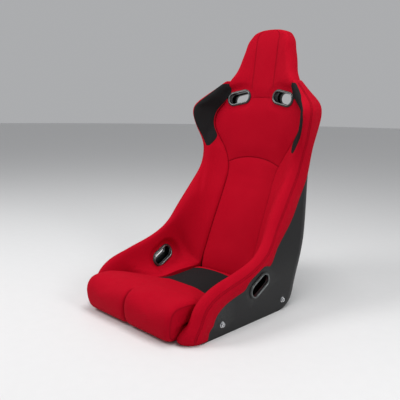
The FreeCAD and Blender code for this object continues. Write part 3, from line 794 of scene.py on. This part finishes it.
def steel_material(name, base, low, high):
    """Plated steel with turning marks and a few smudges."""
    shade = Shade(name)
    marks = shade.node("ShaderNodeTexWave", {"Vector": shade.space, "Scale": 700.0, "Distortion": 2.0},
                       wave_type="RINGS", rings_direction="X").outputs["Fac"]
    smudge = shade.noise(140.0, 4.0)
    tone = shade.mix(smudge, scaled(base, 0.8), base)
    rough = shade.spread(smudge, 0.3, 0.7, low, high)
    normal = shade.bump(marks, 0.00002, 0.4)
    return shade.set(Base_Color=tone, Roughness=rough, Normal=normal, Metallic=1.0)


def tape_material(name, loops):
    """Hook or loop tape: rows of tiny hooks or a felted pile."""
    shade = Shade(name)
    pile = shade.cells(450.0 if loops else 800.0)
    fuzz = shade.noise(1300.0, 2.0)
    tone = shade.mix(fuzz, colour(0.01, 0.01, 0.01), colour(0.03, 0.03, 0.03))
    return shade.set(Base_Color=tone, Roughness=0.9, Normal=shade.bump(pile, 0.0006, 0.8), Sheen_Weight=0.3)


RED = cloth_material("red_cloth", colour(0.42, 0.0006, 0.0125), 1.5, 0.06, 0.16, 0.22)
CHARCOAL = cloth_material("charcoal_cloth", colour(0.014, 0.014, 0.0145), 2.2, 0.08, 0.45, 0.35)
THREAD = cloth_material("thread", colour(0.10, 0.002, 0.006), 0.6, 0.4, 0.2, 0.1)
SHELL = shell_material("shell_coat")
LAMINATE = laminate_material("bare_laminate")
BEZEL_BLACK = moulded_material("bezel_plastic", colour(0.012, 0.012, 0.013), 0.0, 0.3, 0.45)
# the bead's lighter metallic grey is a painted highlight standing in for the shine along the glossy lip
BEZEL_LIP_HIGHLIGHT = moulded_material("bezel_lip_painted_highlight", colour(0.13, 0.14, 0.14), 0.85, 0.3, 0.42)
CHROME = steel_material("bright_bolts", colour(0.75, 0.76, 0.78), 0.1, 0.22)
ZINC = steel_material("zinc_plate", colour(0.45, 0.45, 0.43), 0.32, 0.5)
HOOKS = tape_material("hook_tape", False)
LOOPS = tape_material("loop_tape", True)


def finish_piece(piece, body, material=None, nodes=()):
    """Says what a piece rides on, what it replaces and its finish."""
    if material is not None:
        piece.data.materials.clear()
        piece.data.materials.append(material)
    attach(piece, body)
    if nodes:
        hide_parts(*nodes)


# ---- bolsters ----
def make_bolsters():
    """Bolster covers and their twin stitching; returns what the other covers are fitted to."""
    places, outer, inner, seam = bolster_grids()
    piece, hold = thick_sheet("bolster_cover_right", outer, inner, seam)
    swell(piece, hold, COVER_SWELL)
    rows, cols = outer.shape[:2]
    final = points_of(piece)[:rows * cols].reshape(rows, cols, 3)
    normals = grid_normals(final)
    if normals[rows // 2, cols // 3, 0] > 0:
        normals = -normals
    middle = SEAM_COLUMN + len(SEAM_STEPS) // 2
    lines = [(final[2:-1, column], normals[2:-1, column]) for column in (middle - 2, middle + 2)]
    subdivide(piece)
    open_for(piece, [SHOULDER_FRONT, HIP_INNER])
    cut_slot(piece, HIP_OUTER)
    for side, cover in both_sides(piece, "bolster_cover"):
        nodes = [f"{part}_bolster_{side}" for part in ("thigh", "hip", "waist", "shoulder", "neck")]
        finish_piece(cover, "seat_shell", RED, nodes)
    for _, thread in both_sides(stitches("bolster_stitching_right", lines), "bolster_stitching"):
        finish_piece(thread, "seat_shell", THREAD)
    return places, piece, final


def insert_grid(places, final):
    """Points of the charcoal shoulder panel on the bolster's surface."""
    reach = Spline(INSERT_REACH[:, 0], INSERT_REACH[:, 1:])
    grid = []
    for place in np.linspace(INSERT_REACH[0, 0], INSERT_REACH[-1, 0], 46):
        low, high = reach(place)
        i = np.interp(place, places, np.arange(len(places)))
        a = int(min(i, len(places) - 2))
        line = final[a] + (final[a + 1] - final[a]) * (i - a)
        line = line[HIDDEN_COLUMNS:SEAM_COLUMN + 1]
        grid.append(resample(line, lengths(line)[-1] * np.linspace(max(low, 0.0), high, 22)))
    return np.array(grid)


def make_shoulder_panels(places, cover, final):
    surface = surface_of(cover)
    grid = insert_grid(places, final)
    rise = roll_edges(*grid.shape[:2], 3, 3)
    outer, normals = lay_on(surface, grid, 2.2 * rise - 1.0)
    inner = outer - normals * 2.0
    # painted shade along the panel's edges
    seam = (rise < 0.5).astype(float) * 0.6
    panel, _ = thick_sheet("shoulder_panel_right", outer, inner, seam)
    subdivide(panel)
    cut_slot(panel, SHOULDER_FRONT)
    for side, piece in both_sides(panel, "shoulder_panel"):
        finish_piece(piece, "seat_shell", CHARCOAL, [f"shoulder_insert_{side}"])


# ---- back pads ----
def back_middle():
    return Spline(BACK_LINE[:, 0], BACK_LINE[:, 1])


def panel_edge(final):
    """Half width and y of the seam between the back pads and the bolster, by height."""
    seam = final[:, HIDDEN_COLUMNS]
    start = int(np.argmax(seam[:, 2] > BOLSTER_JOIN_Z))
    rows = PAD_FOOT + [(p[2], p[0] + 0.5, p[1]) for p in seam[start::3]]
    rows = [rows[0]] + [b for a, b in zip(rows, rows[1:]) if b[0] > a[0] + 2]
    rows = np.array(rows)
    return lambda z: (np.interp(z, rows[:, 0], rows[:, 1]), np.interp(z, rows[:, 0], rows[:, 2]))


def edge_columns(count, half, steps=EDGE_STEPS):
    """Positions from -1 to 1 across a pad, closer together along both edges."""
    edge = np.array(steps) / half
    inside = np.linspace(-1 + edge[-1], 1 - edge[-1], count)
    return np.concatenate([-1 + edge[:-1], inside, 1 - edge[:-1][::-1]])


def edge_dip(position, half, depth=EDGE_DIP[0], reach=EDGE_STEPS[-1]):
    """How far the cover sinks at a position from -1 to 1, into the seam at either end."""
    away = (1 - abs(position)) * half
    return depth * min(max(1 - away / reach, 0.0), 1.0) ** 1.8


def back_pad(name, bottom, top, edge, dish_power):
    """Pad between two seams; bottom and top give the height of the seam by position across."""
    middle = back_middle()
    across = edge_columns(22, PAD_HALF)
    span = top(0.0) - bottom(0.0)
    down = edge_columns(max(12, int(span / 11)), 0.5 * span)
    outer = np.empty((len(down), len(across), 3))
    dip = np.empty(outer.shape[:2])
    for i, v in enumerate(down):
        for j, u in enumerate(across):
            z = bottom(u) + (top(u) - bottom(u)) * 0.5 * (v + 1)
            half, edge_y = edge(z)
            centre = float(middle(z))
            outer[i, j] = (u * half, centre + (edge_y - centre) * abs(u) ** dish_power, z)
            dip[i, j] = max(edge_dip(u, half), edge_dip(v, 0.5 * span, 2.0, 6.0))
    normals = grid_normals(outer)
    if normals[len(down) // 2, len(across) // 2, 1] > 0:
        normals = -normals
    outer = outer - normals * dip[:, :, None]
    inner = outer - normals * PAD_THICKNESS
    inner[:, :, 0] = outer[:, :, 0] * 0.98
    # the seam value is painted shade, deeper where the cover sinks into its seams
    piece, hold = thick_sheet(name, outer, inner, np.clip(dip / EDGE_DIP[0], 0, 1))
    swell(piece, hold, PAD_SWELL)
    subdivide(piece)
    return piece


def make_back(final):
    edge = panel_edge(final)

    def lumbar(u):
        return LUMBAR_Z - LUMBAR_DROP * u * u

    lower = back_pad("lower_back_cover", lambda u: PAD_BOTTOM, lambda u: lumbar(u) + LUMBAR_LAP, edge, 2.0)
    upper = back_pad("upper_back_cover", lambda u: lumbar(u) - LUMBAR_LAP, lambda u: YOKE_Z + YOKE_LAP, edge,
                     2.4)
    open_for(upper, SHOULDER_PAIR)
    finish_piece(lower, "seat_shell", RED, ["lower_back_pad"])
    finish_piece(upper, "seat_shell", RED, ["upper_back_pad"])


# ---- headrest ----
def head_level(z, levels, edge):
    """Crest x and y, half width and rear y at a height; below the neck they follow the back pads' edge."""
    crest_x, crest_y, half, rear = levels(max(z, HEAD_LEVELS[0, 0]))
    if z < NECK_HIGH:
        edge_x, edge_y = edge(z)
        share = ease((z - NECK_LOW) / (NECK_HIGH - NECK_LOW))
        crest_x = edge_x + (crest_x - edge_x) * share - 4
        crest_y = edge_y + (crest_y - edge_y) * share
        half = edge_x + (half - edge_x) * share
        rear = edge_y + 16 + (rear - edge_y - 16) * share
    return crest_x, crest_y, half, rear


def head_face(z, crest_x, crest_y, centre_y):
    """Points from the middle to the crest: a dished face with a seam near each side."""
    xs = list(np.concatenate([[0, 14, 28], HEAD_SEAM_X + HEAD_SEAM_STEPS]) * min(1.0, crest_x / 72.0))
    sides = [xs[-1] + (crest_x - xs[-1]) * share for share in np.linspace(0, 1, 9)[1:]]
    dips = list(1.1 * HEAD_SEAM_MARK * ease((z - 700) / 30)) + [0] * len(sides)
    return [(x, centre_y + (crest_y - centre_y) * (x / crest_x) ** 2.6 + dip, z)
            for x, dip in zip(xs + sides, dips)]


def head_side(z, crest_x, crest_y, half, rear):
    """Points from the crest round to the rear edge: a quarter turn, then nearly straight back."""
    turn_share = 0.62
    turn_y = 0.5 * (crest_y + rear)
    side = []
    for s in np.linspace(0, 1, 8)[1:]:
        if s < turn_share:
            angle = s / turn_share * math.pi / 2
            side.append((crest_x + (half - crest_x) * math.sin(angle),
                         crest_y + (turn_y - crest_y) * (1 - math.cos(angle)), z))
        else:
            share = (s - turn_share) / (1 - turn_share)
            side.append((half - 1.5 * share, turn_y * (1 - share) + rear * share, z))
    return side


def make_headrest(final):
    """Headrest cover with rolled sides, and its yoke between the harness slots."""
    middle = back_middle()
    edge = panel_edge(final)
    levels = Spline(HEAD_LEVELS[:, 0], HEAD_LEVELS[:, 1:])
    outer, inner, seam = [], [], []
    for z in HEAD_HEIGHTS:
        crest_x, crest_y, half, rear = head_level(z, levels, edge)
        bottom = 2.0 * max(0.0, 1 - (z - YOKE_Z) / 6.0) ** 1.8
        face = np.array(head_face(z, crest_x, crest_y, float(middle(z)))) + (0, bottom, 0)
        side = np.array(head_side(z, crest_x, crest_y, half, rear))
        side[side[:, 1] < 0.5 * (crest_y + rear), 1] += bottom
        half_row = np.concatenate([face, side])
        row = np.concatenate([mirror_x(half_row[:0:-1]), half_row])
        # marks: painted shade along the headrest's seams and where its lower edge tucks in
        marks = np.zeros(len(half_row))
        marks[:len(HEAD_SEAM_MARK)] = HEAD_SEAM_MARK * (z > 715)
        marks += min(bottom / 2.4, 1.0)
        back = row * (0.94, 1, 1)
        back[:, 1] += np.clip((rear - row[:, 1]) * 0.8, 4.0, 26.0)
        back[:, 1] = np.minimum(back[:, 1], rear - 1.0 + 4.0 * (1 - (back[:, 0] / half) ** 2))
        outer.append(row)
        inner.append(back)
        seam.append(np.concatenate([marks[:0:-1], marks]))
    outer, inner, seam = np.array(outer), np.array(inner), np.clip(np.array(seam), 0, 1)
    # the top is closed by folding the last row's two halves over each other
    inner[-1] = outer[-1] * (-0.6, 1, 1) + (0, 0.5, -0.5)
    piece, hold = thick_sheet("headrest_cover", outer, inner, seam)
    swell(piece, hold, COVER_SWELL)
    subdivide(piece)
    open_for(piece, SHOULDER_PAIR)
    finish_piece(piece, "seat_shell", RED, ["yoke_pad", "headrest_pad"])


# ---- cushion ----
def cushion_half(y):
    return float(np.interp(y, CUSHION_HALF[:, 0], CUSHION_HALF[:, 1]))


def groove_share(outline):
    """Where the middle groove lies on the cushion's outline: over the nose of the roll and under it."""
    over = ease((GROOVE_START - outline[:, 0]) / 14.0) * (outline[:, 1] > 60)
    under = ease((-255 - outline[:, 0]) / 30.0) * (outline[:, 1] <= 60)
    return over + under


def cushion_outline():
    """The cushion from the side: its outline, the inward directions, and the line that it shrinks to."""
    outline = smooth_line(CUSHION_LINE, 101)[:-1]
    tangent = np.roll(outline, -1, axis=0) - np.roll(outline, 1, axis=0)
    spine = np.column_stack([np.clip(outline[:, 0], -300, 55), np.full(len(outline), 48.0)])
    return outline, sideways(tangent, 0, spine[0] - outline[0]), spine


def cushion_rings():
    """Rings of points around the cushion from its middle to its right side, and where its seams are."""
    outline, inward, spine = cushion_outline()
    half = np.array([cushion_half(y) for y in outline[:, 0]])
    half -= ROLL_TAPER * ease((80 - outline[:, 1]) / 80.0) * ease((-262 - outline[:, 0]) / 30.0)
    plain = np.zeros(len(outline))
    groove = groove_share(outline)
    first_x, last_inset = 28.0, SIDE_STEPS[0][0]
    # seam: painted shade in the middle groove and along the side seams
    rings, seam = [], []
    for x, drop, mark in MIDDLE_STEPS:
        rings.append(np.column_stack([plain + x, outline + inward * (drop * groove)[:, None]]))
        seam.append(mark * groove)
    for share in np.linspace(0, 1, 13)[:-1]:
        rings.append(np.column_stack([first_x + (half - last_inset - first_x) * share, outline]))
        seam.append(plain)
    squareness = np.interp(outline[:, 0], [-240, -170], [1.0, 0.4])
    for inset, shrink, mark in SIDE_STEPS:
        rings.append(np.column_stack([half - inset, outline + inward * (shrink * squareness)[:, None]]))
        seam.append(plain + mark)
    edge = outline + inward * SIDE_STEPS[-1][1]
    for share in (0.3, 0.55, 0.8, 0.93):
        rings.append(np.column_stack([half + 0.6 - share, edge + (spine - edge) * share]))
        seam.append(plain)
    rings = np.array(rings)
    crown = np.where(outline[:, 1] > 60, np.interp(outline[:, 0], [-240, -120], [0.5, 4.0]), 0.0)
    across = rings[:, :, 0] / half
    rings[:, :, 2] += crown * (1 - across ** 2) - 0.8 * crown * across ** 4
    return rings, np.array(seam)


def make_cushion():
    """One cover over the seat and its front roll, with a side panel and a groove down the roll's middle."""
    rings, seam = cushion_rings()
    rings = np.concatenate([mirror_x(rings[:0:-1]), rings])
    seam = np.concatenate([seam[:0:-1], seam])
    piece = ring_body("cushion_cover", rings, seam)
    hold = (seam.ravel() > 0.3) | (rings[:, :, 2].ravel() < 24.0)
    ring = np.arange(len(rings))
    hold |= np.repeat(np.minimum(ring, ring[::-1]) < 7, rings.shape[1])
    swell(piece, hold, PAD_SWELL)
    subdivide(piece)
    nodes = ["cushion_body", "cushion_roll_right", "cushion_roll_left"]
    finish_piece(piece, "seat_cushion", RED, nodes)
    return surface_of(piece)


def make_cushion_panel(surface):
    """Charcoal centre panel laid on the cushion's cover."""
    steps = np.array(PANEL_STEPS)
    inside = np.linspace(PANEL_FRONT + 12, PANEL_REAR - 12, 15)
    ys = np.concatenate([PANEL_FRONT + steps[:-1], inside, PANEL_REAR - steps[-2::-1]])
    across = edge_columns(20, PAD_HALF, steps)
    grid = np.array([[(u * (cushion_half(y) - 2.0), y, 74.0) for u in across] for y in ys])
    rise = roll_edges(*grid.shape[:2], 2, 2)
    outer, normals = lay_on(surface, grid, 2.0 * rise - 0.8)
    # the seam value gives painted shade along the panel's edges
    panel, _ = thick_sheet("cushion_panel", outer, outer - normals * 1.8, (rise < 0.5) * 0.6)
    subdivide(panel)
    finish_piece(panel, "seat_cushion", CHARCOAL, ["cushion_insert"])


# ---- hard parts ----
def make_bezels():
    """Surrounds of the four harness slots, front and rear or inner and outer, with their sleeve lengths."""
    kinds = (("shoulder_bezel_front", SHOULDER_FRONT, 20.0), ("shoulder_bezel_rear", SHOULDER_REAR, 9.0),
             ("hip_bezel_inner", HIP_INNER, 8.0), ("hip_bezel_outer", HIP_OUTER, 9.0))
    for node, slot, sleeve in kinds:
        for side, place in (("right", slot), ("left", slot.mirrored())):
            piece = bezel(f"{node}_{side}_trim", place, sleeve)
            finish_piece(piece, "seat_shell", None, [f"{node}_{side}"])


def dress_cad():
    """Finishes the CAD parts that stay in view."""
    finishes = {"outer_shell": SHELL, "inner_shell": LAMINATE, "hook_tape": HOOKS, "loop_tape": LOOPS}
    for side in ("right", "left"):
        finishes.update({f"mount_plate_{side}": ZINC, f"mount_nuts_{side}": ZINC,
                         f"side_washers_{side}": CHROME, f"side_bolts_{side}": CHROME})
    for name, material in finishes.items():
        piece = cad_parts[name]
        for slot in piece.material_slots:
            slot.material = material
        if not piece.material_slots:
            piece.data.materials.append(material)


# ---- studio ----
def make_studio():
    """Pale floor, even surroundings and three soft lights."""
    bpy.ops.mesh.primitive_circle_add(vertices=96, radius=14.0, fill_type="NGON", location=(0, 0, 0))
    floor = bpy.context.object
    floor.name = "studio_floor"
    shade = Shade("pale_floor")
    grain = shade.noise(30.0, 4.0)
    tone = shade.mix(grain, colour(0.70, 0.70, 0.70), colour(0.73, 0.73, 0.73))
    floor.data.materials.append(shade.set(Base_Color=tone, Roughness=0.55, Specular_IOR_Level=0.3))
    world = bpy.data.worlds.new("studio")
    bpy.context.scene.world = world
    world.use_nodes = True
    background = world.node_tree.nodes["Background"]
    background.inputs["Color"].default_value = colour(0.82, 0.83, 0.85)
    background.inputs["Strength"].default_value = 0.5
    lights = (("key", (-1.5, -1.7, 2.3), 44.0, 1.3), ("top", (0.4, -0.1, 2.8), 34.0, 1.4),
              ("side", (2.3, -0.1, 1.5), 20.0, 0.9))
    for name, place, power, size in lights:
        lamp = bpy.data.lights.new(name, "AREA")
        lamp.shape = "DISK"
        lamp.energy = power
        lamp.size = size
        lamp_object = bpy.data.objects.new(name, lamp)
        bpy.context.scene.collection.objects.link(lamp_object)
        aim = Vector((0, 0, 0.4)) - Vector(place)
        lamp_object.location = place
        lamp_object.rotation_euler = aim.to_track_quat("-Z", "Y").to_euler()


def make_camera():
    """Camera at the photo's angle."""
    yaw, pitch, roll = (math.radians(angle) for angle in (CAMERA_YAW, CAMERA_PITCH, CAMERA_ROLL))
    back = Vector((math.sin(yaw) * math.cos(pitch), -math.cos(yaw) * math.cos(pitch), math.sin(pitch)))
    level = Vector((math.cos(yaw), math.sin(yaw), 0))
    rise = back.cross(level)
    right = level * math.cos(roll) + rise * math.sin(roll)
    up = rise * math.cos(roll) - level * math.sin(roll)
    turn = Matrix((right, up, back)).transposed().to_4x4()
    data = bpy.data.cameras.new("photo_view")
    data.sensor_width = CAMERA_SENSOR
    data.lens = CAMERA_LENS
    camera = bpy.data.objects.new("photo_view", data)
    camera.matrix_world = Matrix.Translation(CAMERA_PLACE) @ turn
    bpy.context.scene.collection.objects.link(camera)
    bpy.context.scene.camera = camera


make_camera()
make_studio()
station_places, bolster, bolster_points = make_bolsters()
make_shoulder_panels(station_places, bolster, bolster_points)
make_back(bolster_points)
make_headrest(bolster_points)
make_cushion_panel(make_cushion())
make_bezels()
dress_cad()
bpy.context.scene.view_settings.view_transform = "Standard"
